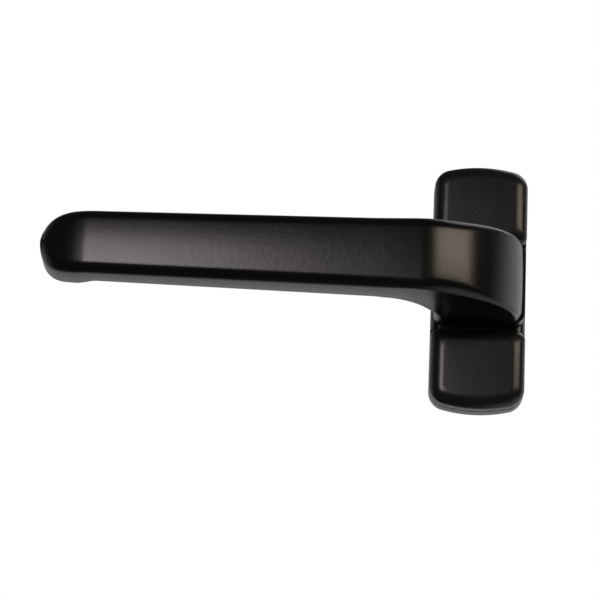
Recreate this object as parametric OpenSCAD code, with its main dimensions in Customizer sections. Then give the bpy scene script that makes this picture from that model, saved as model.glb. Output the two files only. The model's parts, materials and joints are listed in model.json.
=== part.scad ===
// Casement window handle: a lever on an upright backplate with two push-fit caps.
// Origin: spindle axis in the mounting plane. +X right, +Z up, -Y towards the user.
// A depth t is a distance in front of the mounting plane, so y = -t.

/* [Backplate] */
// Width of the caps over their straight sides
plate_w = 29.9; // [28:0.1:34]
// Height of the caps from end to end
plate_h = 80; // [76:0.2:90]
// Radius of the curved ends
end_r = 44; // [40:1:60]
// Radius of the outline's four corners
corner_r = 5.8; // [5:0.2:8]
// How far the rim of the housing stands out past the caps
rim_lip = 0.05; // [0.05:0.05:0.6]
// Depth of the rim's front face
rim_t = 5.4; // [4.8:0.1:5.4]
// Depth of the pads' flat faces
pad_t = 12.2; // [11.5:0.1:14]
// Width of the rounding along the pads' edges
pad_round = 4.5; // [3.6:0.1:4.8]
// Depth of that rounding
pad_fall = 3.6; // [2.5:0.1:4]
// Distance from the axis to a cap's inner end
cap_z = 14.3; // [14.2:0.1:15]
// Wall of a cap
cap_wall = 1.6; // [1.2:0.1:2]

/* [Hub] */
// Width of the hub
hub_w = 28.6; // [28:0.2:30]
// Height of the hub
hub_h = 26.6; // [26:0.2:28]
// Corner radius of the hub
hub_r = 3.6; // [2:0.2:5]
// Depth of the hub's front face
hub_t = 15; // [14.5:0.1:16]
// Depth of the hub wall's inner side, which is the floor of the mechanism chamber
wall_t = 8.2; // [8:0.1:9]

/* [Lever] */
// Distance from the axis to the tip
lever_len = 136.4; // [120:0.2:150]
// Depth of the grip's flat front face
grip_t = 45; // [42:0.5:55]
// Width of the grip where it meets the tip's curve
grip_w_tip = 20; // [18:0.2:22]
// Width of the grip where the bend starts
grip_w_bend = 22.5; // [20:0.1:24]
// Thickness of the grip near the tip
grip_d_tip = 12.2; // [10:0.2:14]
// Thickness of the grip at the bend
grip_d_bend = 14.2; // [12:0.2:16]
// Length of the rounded tip along its front
tip_len = 14; // [12:0.5:18]
// Length of the rounded tip along its back
tip_back_len = 9; // [8:0.5:12]
// Radius of the front face's curve towards the tip
tip_bow_r = 30; // [24:1:60]
// Extra thickness of the finger hook at the tip
hook_d = 3.8; // [0:0.1:4.4]
// Length of the outside of the bend
bend_len = 33.2; // [28:0.2:36]
// Length of the hollow curve under the neck
neck_len = 16.7; // [12:0.1:20]
// Rounding along the grip's front edges
grip_round = 3.6; // [2:0.1:4.2]
// Rounding along the grip's back edges
back_round = 1.3; // [0.5:0.1:2]
// Rounding along the front edges halfway round the bend
bend_round = 1.5; // [0.5:0.1:3]

/* [Mechanism] */
// Side of the square spindle
spindle_a = 7; // [6:0.5:8]
// How far the spindle stands out behind the mounting plane
spindle_out = 32; // [20:1:60]
// Radius of the drive sleeve in the bush
sleeve_r = 7; // [6.5:0.1:7.5]
// Radius of the drive sleeve inside the chamber
neck_r = 6.2; // [6:0.1:6.4]
// Half the distance between the flats of the neck
neck_flat = 5.2; // [5:0.1:5.4]
// Travel of the lever in degrees
turn = 90; // [80:1:100]
// Radial running clearance
run = 0.05; // [0.02:0.01:0.1]

/* [Fixing] */
// Distance between the two fixing screws
screw_gap = 43; // [42:0.5:44]
// Radius of the fixing screws' thread
screw_r = 2.5; // [2:0.25:3]
// Length of thread that stands out behind the lugs
thread_len = 18; // [10:1:40]
// Radius of the locating lugs
lug_r = 5; // [4.5:0.1:6]
// Length of the locating lugs behind the mounting plane
lug_len = 3; // [2:0.5:4]

/* [Hidden] */
$fn = 96;
eps = 0.01;
gasket_t = 0.8;
back_t = 1.4;
half_w = plate_w / 2;
half_h = plate_h / 2;
core_x = half_w - corner_r;
core_z = half_h - end_r + sqrt(pow(end_r - corner_r, 2) - pow(core_x, 2));
end_a = atan2(core_z - half_h + end_r, core_x);
root_t = hub_t + 0.15;
root_inset = 0.9;
bend_x = hub_w / 2 - root_inset - bend_len;
root_edge = 0.35;
inner_x = -hub_w / 2 - neck_len;
tip_x = tip_len - lever_len;
tip_bow_x = tip_x + 3.5;
hook_x = tip_x + 0.2;
hook_ramp = 7;
tip_power = 0.73;
bend_power = 1.12;
fall_power = 1.2;
spread_power = 0.62;
neck_power = 1.1;
grub_t = 17.7;
sleeve_end = 27.3;
shoulder_r = 2.7;
washer_t = 0.8;
seat_t = rim_t + washer_t;
chamber_w = 23;
chamber_h = 22;
cam_half = 7.6;
cam_tip = 9.6;
leaf_d = 0.5;
tab_a = 12;
cover_screw_z = 14.2;
body_black = [0.05, 0.05, 0.052];
steel = [0.62, 0.63, 0.65];
nylon = [0.82, 0.81, 0.77];

// ---- helpers ----

// Draws what follows from depth t forwards, with the sketch's x along X and y along Z
module out(t) translate([0, -t, 0]) rotate([90, 0, 0]) children();

// A ring or disc between two depths
module ring(t0, t1, r, bore = 0) {
    out(t0) linear_extrude(t1 - t0) difference() {
        circle(r);
        if (bore > 0) circle(bore);
    }
}

// A centred block between two depths
module block(t0, t1, w, h) out(t0) linear_extrude(t1 - t0) square([w, h], center = true);

// Repeats at the two fixing screws
module at_screws() for (s = [-1, 1]) translate([0, 0, s * screw_gap / 2]) children();

// Rectangle with true round corners
module soft_rect(w, h, r) {
    square([w - 2 * r, h], center = true);
    square([w, h - 2 * r], center = true);
    for (x = [-1, 1], y = [-1, 1]) translate([x * (w / 2 - r), y * (h / 2 - r)]) circle(r);
}

// The backplate's outline: straight sides, curved ends, true round corners, grown by g
module plate_outline(g) {
    er = end_r + g;
    tan_x = er * cos(end_a);
    intersection() {
        square([2 * tan_x, 3 * half_h], center = true);
        translate([0, half_h - end_r]) circle(er);
        translate([0, end_r - half_h]) circle(er);
    }
    square([2 * (half_w + g), 2 * core_z], center = true);
    for (x = [-1, 1], y = [-1, 1]) translate([x * core_x, y * core_z]) circle(corner_r + g);
}

// A pie slice from angle a0 to a1
module slice(a0, a1, r) {
    am = (a0 + a1) / 2;
    polygon([[0, 0], for (a = [a0, am, a1]) 2 * r * [cos(a), sin(a)]]);
}

// The neck's double-flat section, grown by g
module flats(g) intersection() {
    circle(neck_r + g);
    square([2 * (neck_flat + g), 4 * neck_r], center = true);
}

// Skin between equal rings of points, closed at both ends
module loft(rings) {
    n = len(rings);
    m = len(rings[0]);
    sides = [for (i = [0:n - 2], j = [0:m - 1]) let (k = (j + 1) % m)
        each [[i * m + j, i * m + k, i * m + m + k], [i * m + j, i * m + m + k, i * m + m + j]]];
    ends = [[for (j = [m - 1:-1:0]) j], [for (j = [0:m - 1]) (n - 1) * m + j]];
    polyhedron([for (r = rings) each r], concat(sides, ends), convexity = 6);
}

function lerp(a, b, u) = a + (b - a) * u;
function smooth(u) = let (c = min(1, max(0, u))) c * c * (3 - 2 * c);
function arc(c, r, a0, a1, n) = [for (i = [0:n]) let (a = lerp(a0, a1, i / n)) c + r * [cos(a), sin(a)]];

// ---- lever ----

function half_width(x) = lerp(grip_w_tip, grip_w_bend, (x - tip_x) / (bend_x - tip_x)) / 2;
function thickness(x) = lerp(grip_d_tip, grip_d_bend, (x - tip_x) / (inner_x - tip_x));
function front_t_at(x) = grip_t - tip_bow_r + sqrt(pow(tip_bow_r, 2) - pow(max(0, tip_bow_x - x), 2));
function back_t_at(x) = grip_t - thickness(x) - hook_d * smooth((hook_x + hook_ramp / 2 - x) / hook_ramp);

// One cross-section: back point b and front point f in plan, half widths wb and wf, corner radii
function section(b, f, wb, wf, rb, rf) = let (
    d = norm(f - b),
    e = (f - b) / d,
    cf = min(rf, d * 0.48, wf * 0.9),
    cb = min(rb, d * 0.48, wb * 0.9),
    loop = concat(
        arc([d - cf, cf - wf], cf, -90, 0, 6), arc([d - cf, wf - cf], cf, 0, 90, 6),
        arc([cb, wb - cb], cb, 90, 180, 4), arc([cb, cb - wb], cb, 180, 270, 4)))
    [for (p = loop) [b[0] + e[0] * p[0], -(b[1] + e[1] * p[0]), p[1]]];

// Rounded tip: the width runs in along superellipses, later at the back
function tip_section(a) = let (
    s = pow(sin(a), tip_power),
    c = pow(cos(a), tip_power),
    x = tip_x - tip_len * s,
    late = max(0, (tip_len * s - tip_len + tip_back_len) / tip_back_len),
    wb = half_width(x) * pow(1 - pow(late, 2.7), 0.38))
    section([x, back_t_at(x) + 1.2 * pow(late, 4)], [x, front_t_at(x)],
        wb, half_width(x) * c, back_round + s, grip_round + s);

// Straight grip
function grip_section(x) = let (w = half_width(x))
    section([x, back_t_at(x)], [x, front_t_at(x)], w, w, back_round, grip_round);

// Bend and root: u runs from 0 at the grip to 1 at the hub
function bend_section(u, edge = 0) = let (
    root = root_t + root_edge,
    wb = lerp(grip_w_bend, hub_h, 1 - cos(90 * u)) / 2 - edge,
    wf = lerp(grip_w_bend, hub_h, pow(1 - cos(90 * u), spread_power)) / 2 - edge,
    f = [bend_x + bend_len * pow(sin(90 * u), bend_power) - edge,
        root + (grip_t - root) * pow(cos(90 * u), fall_power) - edge],
    b = [inner_x + neck_len * pow(sin(90 * u), neck_power) + edge,
        root + (grip_t - grip_d_bend - root) * pow(cos(90 * u), neck_power) - edge],
    tight = lerp(grip_round, bend_round, smooth((u - 0.25) / 0.35)))
    section(b, f, wb, wf, lerp(back_round, hub_r, smooth((u - 0.6) / 0.4)),
        lerp(tight, hub_r, smooth((u - 0.7) / 0.3)));

module lever() color(body_black) difference() {
    loft(concat(
        [for (a = [86:-6:8]) tip_section(a)],
        [for (x = [tip_x:1.5:hook_x + 4]) grip_section(x)],
        [for (i = [0:8]) grip_section(lerp(hook_x + 6, inner_x - 2, i / 8))],
        [for (i = [0:24]) bend_section(i / 24)],
        [bend_section(1, root_edge)]));
    ring(root_t - 1, sleeve_end + 0.2, sleeve_r + 0.02);
    translate([0, -grub_t, 0]) rotate([0, -90, 0]) cylinder(r = 2.02, h = 40);
}

// ---- turning parts ----

module drive_sleeve() color(steel) difference() {
    union() {
        ring(wall_t, sleeve_end, sleeve_r);
        out(back_t - 0.4) linear_extrude(wall_t - back_t + 0.4 + eps) flats(0);
    }
    block(0, 24, spindle_a + 0.1, spindle_a + 0.1);
    ring(1.9, 2.8, neck_r + 1, 5.6);
    translate([spindle_a / 2, -23, -1.5]) cube([1.1, 12, 3]);
}

module grub_screw() color(steel) translate([-sleeve_r - 0.05, -grub_t, 0]) rotate([0, -90, 0])
    difference() {
        cylinder(r = 2, h = 6);
        translate([0, 0, 4]) cylinder(r = 1.15, h = 3, $fn = 6);
    }

module spindle() color(steel) block(-spindle_out, 23.5, spindle_a, spindle_a);

module spindle_clip() color(steel) translate([spindle_a / 2 + 0.07, -22.5, -1.4]) cube([0.9, 11, 2.8]);

module thrust_washer() color(steel) ring(7.55, wall_t - run, 10.2, neck_r + run);

// Slightly coned ring with a rectangular section
module disc_spring() color(steel) out(7) rotate_extrude()
    polygon([[neck_r + 0.1, 0.3], [9.9, 0.02], [9.9, 0.22], [neck_r + 0.1, 0.5]]);

module index_cam() color(steel) out(4) linear_extrude(2.98) difference() {
    intersection() {
        square(2 * cam_half, center = true);
        circle(cam_tip);
    }
    flats(0.04);
}

module stop_washer() color(steel) out(2.85) linear_extrude(1.1) difference() {
    union() {
        circle(8);
        intersection() {
            circle(10);
            slice(180 - tab_a, 180 + tab_a, 10);
        }
    }
    flats(0.04);
}

module circlip() color(steel) out(1.92) linear_extrude(0.86) difference() {
    circle(7.9);
    circle(5.65);
    translate([-2.2, 0]) square([4.4, 9]);
}

// ---- fixed parts ----

// Section of the bridge between the caps, with rounded shoulders
module shoulder() {
    w = plate_w / 2 - 0.1;
    translate([-w, -wall_t + shoulder_r]) square([2 * w, wall_t - shoulder_r - rim_t + eps]);
    translate([shoulder_r - w, -wall_t]) square([2 * (w - shoulder_r), shoulder_r]);
    for (x = [-1, 1]) translate([x * (w - shoulder_r), shoulder_r - wall_t]) circle(shoulder_r);
}

module housing() color(body_black) difference() {
    union() {
        out(gasket_t) linear_extrude(rim_t - gasket_t) plate_outline(rim_lip);
        translate([0, 0, 0.15 - cap_z]) linear_extrude(2 * cap_z - 0.3) shoulder();
        out(rim_t - eps) linear_extrude(hub_t - rim_t + eps) soft_rect(hub_w, hub_h, hub_r);
    }
    block(0, wall_t, chamber_w, chamber_h);
    ring(wall_t - 1, hub_t + 1, 9);
    ring(hub_t - 0.8, hub_t + 1, 12.3);
    out(0) linear_extrude(back_t) soft_rect(25, 33.6, 2);
    at_screws() ring(0, rim_t + 1, screw_r + 0.25);
    at_screws() ring(0, 3, lug_r - 0.38);
    for (s = [-1, 1]) translate([0, 0, s * cover_screw_z]) ring(1, 4.6, 1.27);
    for (x = [-1, 1], z = [-1, 1]) translate([x * 11.2, -5, z * 28]) cube([1.6, 4, 6.2], center = true);
}

// Outline of a cap at one depth, inset by o
function cap_ring(o, t) = let (
    ci = 2.6,
    nx = half_w - o - ci,
    nz = cap_z + o + ci,
    loop = concat(
        arc([nx, nz], ci, -90, 0, 4),
        arc([core_x, core_z], corner_r - o, 0, end_a, 8),
        arc([0, half_h - end_r], end_r - o, end_a + 2, 178 - end_a, 12),
        arc([-core_x, core_z], corner_r - o, 180 - end_a, 180, 8),
        arc([-nx, nz], ci, 180, 270, 4)))
    [for (p = loop) [p[0], -t, p[1]]];

// A cap as one solid, inset all round by g
module cap_solid(g, t0) {
    edge = [for (a = [90:-9:0])
        cap_ring(g + (pad_round - g) * (1 - cos(a)), pad_t - g - (pad_fall - g) * (1 - sin(a)))];
    loft(concat(edge, [cap_ring(g, t0)]));
}

module cap() {
    difference() {
        cap_solid(0, rim_t);
        cap_solid(cap_wall, rim_t - 1);
    }
    for (x = [-1, 1]) translate([x * 11.2 - 0.7, -11, 25]) cube([1.4, 8, 6]);
}

module cap_upper() color(body_black) cap();

module cap_lower() color(body_black) mirror([0, 0, 1]) cap();

module gasket() color([0.09, 0.09, 0.09]) out(0) linear_extrude(gasket_t) difference() {
    plate_outline(-0.4);
    circle(8);
    for (s = [-1, 1]) translate([0, s * screw_gap / 2]) circle(lug_r + 0.3);
    for (s = [-1, 1]) translate([0, s * cover_screw_z]) circle(2.4);
}

module fixing_screws() color(steel) at_screws() {
    difference() {
        ring(seat_t, seat_t + 3.2, 4.6);
        out(seat_t + 1.2) cylinder(r = 2.3, h = 3, $fn = 6);
    }
    ring(-lug_len - 1, seat_t, screw_r - 0.25);
    ring(-lug_len - 1 - thread_len, -lug_len - 1, screw_r);
}

module screw_washers() color(steel) at_screws() ring(rim_t, seat_t, 5, screw_r + 0.15);

module locating_lugs() color(nylon) at_screws() {
    ring(-lug_len, 0, lug_r, screw_r + 0.15);
    ring(0, 3, lug_r - 0.4, screw_r + 0.15);
}

module bush() color(nylon) ring(wall_t, hub_t, 8.98, sleeve_r + run);

module glide_ring() color(nylon) ring(hub_t - 0.8, hub_t + 0.1, 12.2, 9.6);

module detent_cage() color(nylon) out(4) linear_extrude(4) difference() {
    square([chamber_w - 0.2, chamber_h - 0.2], center = true);
    circle(10.25);
    square([17, 20.6], center = true);
    for (s = [-1, 1]) translate([0, s * (cam_half + 0.05 + leaf_d / 2)])
        square([21.4, leaf_d + 0.1], center = true);
}

module detent_springs() color(steel) for (s = [-1, 1])
    translate([0, 0, s * (cam_half + 0.05 + leaf_d / 2)]) block(4.1, 6.9, 21.2, leaf_d);

module stop_plate() color(steel) out(back_t) linear_extrude(4 - back_t) difference() {
    square([chamber_w - 0.2, chamber_h - 0.2], center = true);
    circle(8.3);
    intersection() {
        circle(10.2);
        slice(180 - tab_a - 0.5, 180 + turn + tab_a + 0.5, 10.2);
    }
}

module rear_cover() color(steel) out(gasket_t) linear_extrude(back_t - gasket_t) difference() {
    soft_rect(24.8, 33.4, 1.9);
    circle(7);
    for (s = [-1, 1]) translate([0, s * cover_screw_z]) circle(1.4);
}

module cover_screws() color(steel) for (s = [-1, 1]) translate([0, 0, s * cover_screw_z]) {
    ring(gasket_t - 0.6, gasket_t, 2.2);
    ring(gasket_t, 4.4, 1.25);
}

lever();
drive_sleeve();
grub_screw();
spindle();
spindle_clip();
thrust_washer();
disc_spring();
index_cam();
stop_washer();
circlip();
housing();
cap_upper();
cap_lower();
gasket();
fixing_screws();
screw_washers();
locating_lugs();
bush();
glide_ring();
detent_cage();
detent_springs();
stop_plate();
rear_cover();
cover_screws();
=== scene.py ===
"""Black casement window handle: a satin lever on an upright backplate with two push-fit caps.

Lengths are in metres in the row frame: origin on the spindle axis in the mounting plane, -Y towards
the user, +Z up. A depth is a distance in front of the mounting plane, so y = -depth.
"""

import json
import math

import bmesh
import bpy
from mathutils import Matrix, Vector


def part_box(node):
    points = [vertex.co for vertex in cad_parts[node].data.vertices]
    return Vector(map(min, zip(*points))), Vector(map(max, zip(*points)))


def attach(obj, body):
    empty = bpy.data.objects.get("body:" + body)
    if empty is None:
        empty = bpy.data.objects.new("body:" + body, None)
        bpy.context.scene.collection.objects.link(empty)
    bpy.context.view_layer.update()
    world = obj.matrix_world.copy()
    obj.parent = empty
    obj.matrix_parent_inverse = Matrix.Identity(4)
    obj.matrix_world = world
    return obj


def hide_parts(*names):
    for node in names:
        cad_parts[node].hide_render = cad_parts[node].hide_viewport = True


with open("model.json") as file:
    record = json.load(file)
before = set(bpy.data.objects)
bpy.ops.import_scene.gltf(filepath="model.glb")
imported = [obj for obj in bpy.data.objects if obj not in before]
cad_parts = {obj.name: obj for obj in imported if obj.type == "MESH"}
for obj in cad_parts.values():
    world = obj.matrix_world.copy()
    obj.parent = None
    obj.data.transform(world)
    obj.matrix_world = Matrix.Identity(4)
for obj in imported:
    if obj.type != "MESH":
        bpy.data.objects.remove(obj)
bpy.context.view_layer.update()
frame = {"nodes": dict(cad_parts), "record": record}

MM = 0.001
SLOTS = {row["node"]: row["material_slot"] for row in frame["record"]["subparts"]}
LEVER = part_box("lever")
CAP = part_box("cap_upper")


# ---- small helpers ----


def lerp(a, b, u):
    return a + (b - a) * u


def smooth(u):
    c = min(1.0, max(0.0, u))
    return c * c * (3 - 2 * c)


def arc(centre, radius, start, end, steps):
    """Points on an arc in a plane, angles in degrees, both ends included."""
    angles = [math.radians(lerp(start, end, i / steps)) for i in range(steps + 1)]
    return [(centre[0] + radius * math.cos(a), centre[1] + radius * math.sin(a)) for a in angles]


def loft(name, rings, material, body, replaced):
    """A closed mesh through rings with equal numbers of points, standing for one CAD node."""
    count = len(rings[0])
    bm = bmesh.new()
    loops = [[bm.verts.new(p) for p in ring] for ring in rings]
    for low, high in zip(loops, loops[1:]):
        for j in range(count):
            k = (j + 1) % count
            bm.faces.new((low[j], low[k], high[k], high[j]))
    for end in (loops[0], loops[-1]):
        bm.faces.new(end)
    bmesh.ops.recalc_face_normals(bm, faces=bm.faces)
    mesh = bpy.data.meshes.new(name)
    bm.to_mesh(mesh)
    bm.free()
    mesh.shade_smooth()
    mesh.materials.append(material)
    piece = bpy.data.objects.new(name, mesh)
    bpy.context.scene.collection.objects.link(piece)
    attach(piece, body)
    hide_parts(replaced)
    return piece


# ---- materials ----


class Nodes:
    """Short way to build a node tree."""

    def __init__(self, name):
        self.material = bpy.data.materials.new(name)
        self.material.use_nodes = True
        self.tree = self.material.node_tree
        self.shader = self.tree.nodes["Principled BSDF"]

    def add(self, kind, **settings):
        node = self.tree.nodes.new(kind)
        for key, value in settings.items():
            setattr(node, key, value)
        return node

    def link(self, source, target):
        self.tree.links.new(source, target)

    def position(self):
        return self.add("ShaderNodeTexCoord").outputs["Object"]

    def noise(self, scale, detail=3.0, stretch=(1, 1, 1)):
        """Noise over the object's own coordinates, in features per metre."""
        mapping = self.add("ShaderNodeMapping")
        mapping.inputs["Scale"].default_value = stretch
        self.link(self.position(), mapping.inputs["Vector"])
        noise = self.add("ShaderNodeTexNoise")
        noise.inputs["Scale"].default_value = scale
        noise.inputs["Detail"].default_value = detail
        self.link(mapping.outputs["Vector"], noise.inputs["Vector"])
        return noise.outputs["Fac"]

    def spread(self, source, low, high, start=0.3, end=0.7):
        """source rescaled so that start..end becomes low..high."""
        ramp = self.add("ShaderNodeMapRange")
        ramp.inputs["From Min"].default_value = start
        ramp.inputs["From Max"].default_value = end
        ramp.inputs["To Min"].default_value = low
        ramp.inputs["To Max"].default_value = high
        self.link(source, ramp.inputs["Value"])
        return ramp.outputs["Result"]

    def mix(self, fac, dark, light, socket="Base Color"):
        """Colour between dark and light, into a colour socket of the shader."""
        mix = self.add("ShaderNodeMix", data_type="RGBA")
        self.link(fac, mix.inputs["Factor"])
        mix.inputs["A"].default_value = (*dark, 1)
        mix.inputs["B"].default_value = (*light, 1)
        self.link(mix.outputs["Result"], self.shader.inputs[socket])

    def bump(self, layers):
        """Stacked bumps: (height source, depth in metres) pairs."""
        normal = None
        for source, depth in layers:
            bump = self.add("ShaderNodeBump")
            bump.inputs["Strength"].default_value = 1.0
            bump.inputs["Distance"].default_value = depth
            self.link(source, bump.inputs["Height"])
            if normal:
                self.link(normal, bump.inputs["Normal"])
            normal = bump.outputs["Normal"]
        self.link(normal, self.shader.inputs["Normal"])


def black_paint():
    """Satin black stove enamel: fine grain, mottling and a soft orange peel."""
    m = Nodes("black_satin_paint")
    grain = m.noise(2600, 2.0)
    peel = m.noise(420, 2.0)
    mottle = m.noise(650, 2.0)
    clouds = m.noise(38, 4.0)
    m.mix(m.spread(clouds, 0, 1), (0.0027, 0.0027, 0.0028), (0.0040, 0.0039, 0.0041))
    m.link(m.spread(clouds, 0.22, 0.255), m.shader.inputs["Roughness"])
    m.shader.inputs["Specular IOR Level"].default_value = 0.5
    m.bump([(peel, 0.000010), (mottle, 0.000016), (grain, 0.000002)])
    return m.material


def black_plastic():
    """Moulded caps in the same black, a little greyer, with a faint grain and flow marks."""
    m = Nodes("black_satin_plastic")
    grain = m.noise(3200, 2.0)
    flow = m.noise(150, 3.0, (1, 1, 0.4))
    mottle = m.noise(900, 2.0)
    clouds = m.noise(45, 4.0)
    m.mix(m.spread(clouds, 0, 1), (0.0095, 0.0095, 0.0095), (0.0125, 0.0124, 0.012))
    m.link(m.spread(flow, 0.25, 0.285), m.shader.inputs["Roughness"])
    m.shader.inputs["Specular IOR Level"].default_value = 0.5
    m.bump([(flow, 0.000004), (mottle, 0.000016), (grain, 0.0000015)])
    return m.material


def zinc_steel():
    """Bright zinc on steel with faint drawing lines and a mottled bloom."""
    m = Nodes("zinc_plated_steel")
    lines = m.noise(900, 3.0, (1, 0.06, 1))
    bloom = m.noise(160, 4.0)
    m.mix(m.spread(bloom, 0, 1), (0.42, 0.43, 0.45), (0.60, 0.61, 0.62))
    m.link(m.spread(lines, 0.26, 0.42), m.shader.inputs["Roughness"])
    m.shader.inputs["Metallic"].default_value = 1.0
    m.bump([(lines, 0.000012)])
    return m.material


def spring_steel():
    """Dark tempered strip with a bluish cast."""
    m = Nodes("spring_steel")
    heat = m.noise(90, 3.0)
    lines = m.noise(1200, 2.0, (0.1, 1, 1))
    m.mix(m.spread(heat, 0, 1), (0.16, 0.17, 0.20), (0.27, 0.26, 0.25))
    m.link(m.spread(lines, 0.28, 0.40), m.shader.inputs["Roughness"])
    m.shader.inputs["Metallic"].default_value = 1.0
    m.bump([(lines, 0.000008)])
    return m.material


def nylon():
    """Off-white moulded nylon, waxy, with a fine spark-eroded grain."""
    m = Nodes("natural_nylon")
    clouds = m.noise(60, 3.0)
    grain = m.noise(2200, 2.0)
    m.mix(m.spread(clouds, 0, 1), (0.56, 0.53, 0.46), (0.66, 0.63, 0.56))
    m.link(m.spread(grain, 0.42, 0.55), m.shader.inputs["Roughness"])
    m.shader.inputs["Subsurface Weight"].default_value = 0.15
    m.shader.inputs["Subsurface Radius"].default_value = (0.002, 0.0018, 0.0014)
    m.bump([(grain, 0.000008)])
    return m.material


def gasket_rubber():
    """Black foam rubber with open pores."""
    m = Nodes("gasket_rubber")
    pores = m.noise(1800, 3.0)
    m.mix(m.spread(pores, 0, 1), (0.008, 0.008, 0.008), (0.022, 0.022, 0.021))
    m.link(m.spread(pores, 0.70, 0.90), m.shader.inputs["Roughness"])
    m.bump([(pores, 0.00004)])
    return m.material


# ---- lever ----

# Sizes as in the CAD, and the exponents of the curves that the tip, the bend and the neck follow
GRIP_FRONT = -LEVER[0].y
ROOT = -LEVER[1].y
TIP = LEVER[0].x
ROOT_HALF_H = LEVER[1].z
ROOT_LEFT = -14.3 * MM
ROOT_ROUND = 3.6 * MM
ROOT_EDGE = 0.35 * MM
ROOT_INSET = 0.9 * MM
GRIP_W_TIP = 20 * MM
GRIP_W_BEND = 22.5 * MM
GRIP_D_TIP = 12.2 * MM
GRIP_D_BEND = 14.2 * MM
TIP_LEN = 14 * MM
TIP_BACK_LEN = 9 * MM
TIP_BOW_R = 30 * MM
TIP_POWER = 0.73
TIP_BACK_POWERS = (2.7, 0.38)
TIP_BACK_DROP = 1.2 * MM
HOOK = 3.8 * MM
HOOK_RAMP = 7 * MM
BEND_LEN = 33.2 * MM
BEND_POWER = 1.12
BEND_FALL_POWER = 1.2
BEND_SPREAD_POWER = 0.62
NECK_LEN = 16.7 * MM
NECK_POWER = 1.1
GRIP_ROUND = 3.6 * MM
BACK_ROUND = 1.3 * MM
BEND_ROUND = 1.5 * MM
CROWN = 0.2 * MM
FULL_CROWN_W = 8 * MM
FACE_STEPS = 6

TIP_START = TIP + TIP_LEN
BEND_X = -ROOT_LEFT - ROOT_INSET - BEND_LEN
INNER_X = ROOT_LEFT - NECK_LEN
HOOK_X = TIP_START + 0.2 * MM
TIP_BOW_X = TIP_START + 3.5 * MM


def half_width(x):
    """Half the grip's width at x."""
    return lerp(GRIP_W_TIP, GRIP_W_BEND, (x - TIP_START) / (BEND_X - TIP_START)) / 2


def front_depth(x):
    """Depth of the grip's face, which bows back towards the tip."""
    return GRIP_FRONT - TIP_BOW_R + math.sqrt(TIP_BOW_R**2 - max(0.0, TIP_BOW_X - x) ** 2)


def back_depth(x):
    """Depth of the grip's back, with the finger hook at the tip."""
    thick = lerp(GRIP_D_TIP, GRIP_D_BEND, (x - TIP_START) / (INNER_X - TIP_START))
    return GRIP_FRONT - thick - HOOK * smooth((HOOK_X + HOOK_RAMP / 2 - x) / HOOK_RAMP)


def section(back, front, w_back, w_front, round_back, round_front):
    """One ring of the lever between a back and a front point in plan, with a slightly crowned face."""
    reach = math.dist(back, front)
    along = [(f - b) / reach for b, f in zip(back, front)]
    rf = min(round_front, reach * 0.48, w_front * 0.9)
    rb = min(round_back, reach * 0.48, w_back * 0.9)
    rise = CROWN * min(1, w_front / FULL_CROWN_W)
    flat = w_front - rf
    places = [t / FACE_STEPS for t in range(1 - FACE_STEPS, FACE_STEPS)]
    face = [(reach - rise * t**2, flat * t) for t in places]
    ring = (
        arc((reach - rise - rf, -flat), rf, -90, 0, 8)
        + face
        + arc((reach - rise - rf, flat), rf, 0, 90, 8)
        + arc((rb, w_back - rb), rb, 90, 180, 6)
        + arc((rb, rb - w_back), rb, 180, 270, 6)
    )
    return [(back[0] + along[0] * d, -(back[1] + along[1] * d), z) for d, z in ring]


def tip_section(angle):
    """The width runs in along superellipses, later at the back."""
    s = math.sin(math.radians(angle)) ** TIP_POWER
    c = math.cos(math.radians(angle)) ** TIP_POWER
    x = TIP_START - TIP_LEN * s
    late = max(0.0, (TIP_LEN * s - TIP_LEN + TIP_BACK_LEN) / TIP_BACK_LEN)
    back = (x, back_depth(x) + TIP_BACK_DROP * late**4)
    front = (x, front_depth(x))
    inner_power, outer_power = TIP_BACK_POWERS
    w_back = half_width(x) * (1 - late**inner_power) ** outer_power
    return section(back, front, w_back, half_width(x) * c, BACK_ROUND + MM * s, GRIP_ROUND + MM * s)


def grip_section(x):
    w = half_width(x)
    return section((x, back_depth(x)), (x, front_depth(x)), w, w, BACK_ROUND, GRIP_ROUND)


def bend_section(u, edge=0.0):
    """u runs from 0 where the grip ends to 1 at the hub; edge shrinks the last ring."""
    sine, cosine = math.sin(math.radians(90 * u)), max(0.0, math.cos(math.radians(90 * u)))
    root = ROOT + ROOT_EDGE
    front = (
        BEND_X + BEND_LEN * sine**BEND_POWER - edge,
        lerp(root, GRIP_FRONT, cosine**BEND_FALL_POWER) - edge,
    )
    back = (
        INNER_X + NECK_LEN * sine**NECK_POWER + edge,
        lerp(root, GRIP_FRONT - GRIP_D_BEND, cosine**NECK_POWER) - edge,
    )
    w_back = lerp(GRIP_W_BEND / 2, ROOT_HALF_H, 1 - cosine) - edge
    w_front = lerp(GRIP_W_BEND / 2, ROOT_HALF_H, (1 - cosine) ** BEND_SPREAD_POWER) - edge
    tight = lerp(GRIP_ROUND, BEND_ROUND, smooth((u - 0.25) / 0.35))
    round_back = lerp(BACK_ROUND, ROOT_ROUND, smooth((u - 0.6) / 0.4))
    round_front = lerp(tight, ROOT_ROUND, smooth((u - 0.7) / 0.3))
    return section(back, front, w_back, w_front, round_back, round_front)


def make_lever(material):
    """Tip, hook, straight grip, bend and the rounded edge of the root, as one skin of rings."""
    hook_end = HOOK_X + 4 * MM
    rings = (
        [tip_section(86 - 3 * i) for i in range(28)]
        + [grip_section(lerp(TIP_START, hook_end, i / 14)) for i in range(15)]
        + [grip_section(lerp(hook_end + 2 * MM, INNER_X - 2 * MM, i / 16)) for i in range(17)]
        + [bend_section(i / 64) for i in range(65)]
        + [bend_section(1, ROOT_EDGE * (1 - math.cos(math.radians(a)))) for a in (30, 60, 90)]
    )
    return loft("lever_body", rings, material, "lever_group", "lever")


# ---- caps ----

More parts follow.
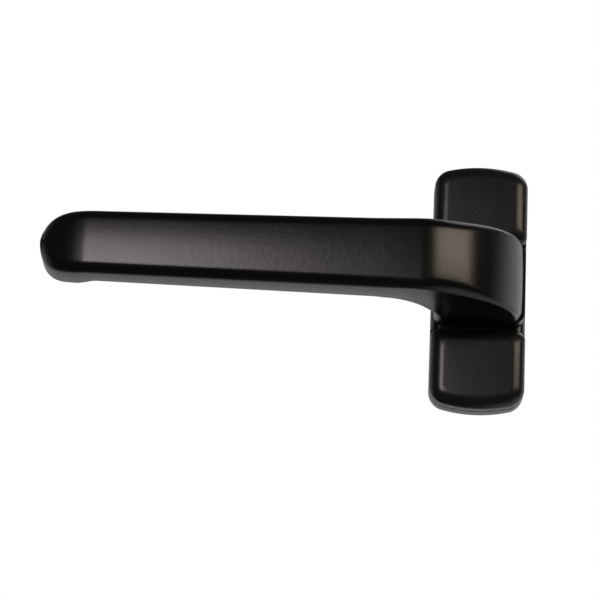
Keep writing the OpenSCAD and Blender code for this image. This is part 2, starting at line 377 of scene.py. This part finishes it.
CAP_HALF_W = CAP[1].x
CAP_TOP = CAP[1].z
CAP_LOW = CAP[0].z
PAD = -CAP[0].y
RIM = -CAP[1].y
END_R = 44 * MM
CORNER_R = 5.8 * MM
PAD_ROUND = 4.5 * MM
PAD_FALL = 3.6 * MM
NOOK_R = 2.6 * MM
CORE_X = CAP_HALF_W - CORNER_R
CORE_Z = CAP_TOP - END_R + math.sqrt((END_R - CORNER_R) ** 2 - CORE_X**2)
END_A = math.degrees(math.atan2(CORE_Z - CAP_TOP + END_R, CORE_X))


def cap_ring(inset, depth, side):
    """The cap's outline at one depth; side is 1 for the upper cap and -1 for the lower one."""
    nook = (CAP_HALF_W - inset - NOOK_R, CAP_LOW + inset + NOOK_R)
    ring = (
        arc(nook, NOOK_R, -90, 0, 8)
        + arc((CORE_X, CORE_Z), CORNER_R - inset, 0, END_A, 12)
        + arc((0, CAP_TOP - END_R), END_R - inset, END_A + 1, 179 - END_A, 20)
        + arc((-CORE_X, CORE_Z), CORNER_R - inset, 180 - END_A, 180, 12)
        + arc((-nook[0], nook[1]), NOOK_R, 180, 270, 8)
    )
    return [(x, -depth, side * z) for x, z in ring]


def make_cap(name, side, material):
    """From the rim up the straight wall, then over the rounding to the pad's flat face."""
    rings = [cap_ring(0, RIM, side)]
    steps = 16
    for i in range(steps + 1):
        a = math.radians(90 * i / steps)
        rings.append(cap_ring(PAD_ROUND * (1 - math.cos(a)), PAD - PAD_FALL * (1 - math.sin(a)), side))
    return loft(name + "_shell", rings, material, "backplate", name)


# ---- CAD nodes that stay, with their finishes ----


def finish_cad_nodes(materials):
    """Every CAD node gets its slot's finish, and the ones with bare sharp edges in sight a small bevel."""
    for name, node in frame["nodes"].items():
        node.data.materials.clear()
        node.data.materials.append(materials[SLOTS[name]])
    for name, width in (("housing", 0.25 * MM), ("spindle", 0.3 * MM), ("fixing_screws", 0.2 * MM)):
        bevel = frame["nodes"][name].modifiers.new("edge", "BEVEL")
        bevel.width = width
        bevel.segments = 4
        bevel.limit_method = "ANGLE"
        bevel.angle_limit = math.radians(40)
        bevel.harden_normals = True


# ---- light and camera ----


def direction(azimuth, elevation):
    """Unit vector from the object towards a place; azimuth 0 is in front and grows to the right."""
    a, e = math.radians(azimuth), math.radians(elevation)
    return Vector((math.sin(a) * math.cos(e), -math.cos(a) * math.cos(e), math.sin(e)))


def softbox(name, azimuth, elevation, distance, size, radiance, colour=(1, 1, 1)):
    """A rectangular light that faces the object, set by how bright its face looks."""
    light = bpy.data.lights.new(name, "AREA")
    light.shape = "RECTANGLE"
    light.size, light.size_y = size
    light.energy = radiance * math.pi * size[0] * size[1]
    light.color = colour
    lamp = bpy.data.objects.new(name, light)
    away = direction(azimuth, elevation)
    lamp.location = away * distance
    lamp.rotation_euler = away.to_track_quat("Z", "Y").to_euler()
    lamp.visible_camera = False
    bpy.context.scene.collection.objects.link(lamp)


def make_world():
    """White to the camera; in reflections a dim room in front and a soft, patchy wall behind."""
    world = bpy.data.worlds.new("studio")
    bpy.context.scene.world = world
    world.use_nodes = True
    tree = world.node_tree
    background = tree.nodes["Background"]
    background.inputs["Color"].default_value = (1, 1, 1, 1)
    where = tree.nodes.new("ShaderNodeTexCoord")
    split = tree.nodes.new("ShaderNodeSeparateXYZ")
    tree.links.new(where.outputs["Generated"], split.inputs["Vector"])

    def ramp(source, start, end, low, high):
        node = tree.nodes.new("ShaderNodeMapRange")
        node.interpolation_type = "SMOOTHSTEP"
        for socket, value in (("From Min", start), ("From Max", end), ("To Min", low), ("To Max", high)):
            node.inputs[socket].default_value = value
        tree.links.new(source, node.inputs["Value"])
        return node

    steep = tree.nodes.new("ShaderNodeMath")
    steep.operation = "ABSOLUTE"
    tree.links.new(split.outputs["Z"], steep.inputs[0])
    level = tree.nodes.new("ShaderNodeMath")
    level.operation = "MULTIPLY_ADD"
    level.inputs[1].default_value = -0.6
    tree.links.new(steep.outputs[0], level.inputs[0])
    tree.links.new(split.outputs["Y"], level.inputs[2])
    leant = tree.nodes.new("ShaderNodeMath")
    leant.operation = "MULTIPLY_ADD"
    leant.inputs[1].default_value = 0.28
    tree.links.new(split.outputs["X"], leant.inputs[0])
    tree.links.new(level.outputs[0], leant.inputs[2])
    behind = ramp(leant.outputs[0], 0.0, 0.4, 0.04, 0.5)
    strength = behind.outputs["Result"]
    # Brighter patches: azimuth, elevation, cosines where the patch starts and is full, strength
    patches = ((105, -48, 0.72, 0.95, 0.6), (130, -5, 0.74, 0.9, 0.8), (-112, 8, 0.8, 0.96, 0.45))
    for azimuth, elevation, start, full, high in patches:
        toward = tree.nodes.new("ShaderNodeVectorMath")
        toward.operation = "DOT_PRODUCT"
        toward.inputs[1].default_value = direction(azimuth, elevation)
        tree.links.new(where.outputs["Generated"], toward.inputs[0])
        brighter = tree.nodes.new("ShaderNodeMath")
        brighter.operation = "MAXIMUM"
        tree.links.new(strength, brighter.inputs[0])
        patch = ramp(toward.outputs["Value"], start, full, 0.0, high)
        tree.links.new(patch.outputs["Result"], brighter.inputs[1])
        strength = brighter.outputs[0]
    path = tree.nodes.new("ShaderNodeLightPath")
    seen = tree.nodes.new("ShaderNodeMix")
    tree.links.new(path.outputs["Is Camera Ray"], seen.inputs["Factor"])
    tree.links.new(strength, seen.inputs["A"])
    seen.inputs["B"].default_value = 1.0
    tree.links.new(seen.outputs["Result"], background.inputs["Strength"])


def make_camera():
    """Low in front of the handle, looking up at it, a little rolled as the handle hangs."""
    azimuth, elevation, roll, distance = 1.9, -15.85, 2.7, 0.7
    right_of_lever, below_axis = 4.4 * MM, 4.07 * MM
    aim = Vector(((LEVER[0].x + LEVER[1].x) / 2 + right_of_lever, 0.0, -below_axis))
    back = direction(azimuth, elevation)
    camera = bpy.data.cameras.new("camera")
    camera.sensor_width = 36
    camera.lens = 130.2
    camera.clip_start = 0.01
    holder = bpy.data.objects.new("camera", camera)
    right = Vector((0, 0, 1)).cross(back).normalized()
    up = back.cross(right)
    turn = Matrix.Rotation(math.radians(roll), 3, back)
    axes = Matrix((right, up, back)).transposed()
    holder.matrix_world = Matrix.Translation(aim + back * distance) @ (turn @ axes).to_4x4()
    bpy.context.scene.collection.objects.link(holder)
    bpy.context.scene.camera = holder


make_camera()
make_world()
softbox("key_left", -15.9, 5.8, 1.4, (0.45, 0.58), 6.4, (1.0, 0.91, 0.90))
softbox("key_right", 42.5, 19, 1.3, (0.84, 0.32), 4.2, (1.0, 0.85, 0.68))
softbox("overhead", 125, 55, 1.2, (0.8, 0.8), 1.4)

paint = black_paint()
plastic = black_plastic()
finishes = {
    "black_paint": paint,
    "black_plastic": plastic,
    "rubber": gasket_rubber(),
    "zinc_steel": zinc_steel(),
    "spring_steel": spring_steel(),
    "nylon": nylon(),
}
finish_cad_nodes(finishes)
make_lever(paint)
make_cap("cap_upper", 1, plastic)
make_cap("cap_lower", -1, plastic)

bpy.context.scene.view_settings.view_transform = "Standard"
